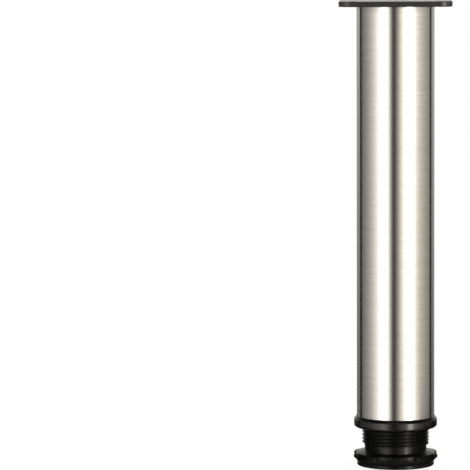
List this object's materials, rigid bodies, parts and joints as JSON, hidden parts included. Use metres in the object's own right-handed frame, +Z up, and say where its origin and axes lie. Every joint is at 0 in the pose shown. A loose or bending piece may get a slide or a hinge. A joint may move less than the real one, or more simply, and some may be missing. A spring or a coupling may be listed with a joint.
{
  "type": "adjustable furniture leg",
  "caption": "Round brushed steel furniture leg with a square mounting plate on top and a black screw foot below that sets its height.",
  "frame": {"origin": "on the floor under the middle of the leg", "axes": "+Z up along the tube, -Y to the front of the picture, the plate's sides along X and Y"},
  "size_m": [0.072, 0.072, 0.3],
  "materials": {
    "black_coat": "fine textured black powder coat",
    "zinc_plate": "bright zinc plate",
    "plug_plastic": "moulded black plastic",
    "brushed_tube": "satin brushed stainless steel",
    "moulded_plastic": "satin moulded black plastic",
    "pad_plastic": "satin black plastic"
  },
  "bodies": {
    "leg": {"mounting_plate": "black_coat", "plate_bolt": "zinc_plate", "captive_nut": "zinc_plate", "top_plug": "plug_plastic", "tube": "brushed_tube", "threaded_socket": "moulded_plastic"},
    "pad": {"base_pad": "pad_plastic"},
    "foot": {"screw_foot": "moulded_plastic"}
  },
  "joints": [
    {"name": "height_travel", "type": "slide", "parent": "leg", "child": "pad", "axis": [0, 0, 1], "range_m": [-0.0024, 0.0156]},
    {"name": "foot_turn", "type": "hinge", "parent": "pad", "child": "foot", "pos_m": [0, 0, 0.0035], "axis": [0, 0, 1], "range_deg": [-360, 2430]}
  ],
  "couplings": [
    {"joint": "height_travel", "follows": "foot_turn", "m_per_rad": 0.00036606}
  ]
}
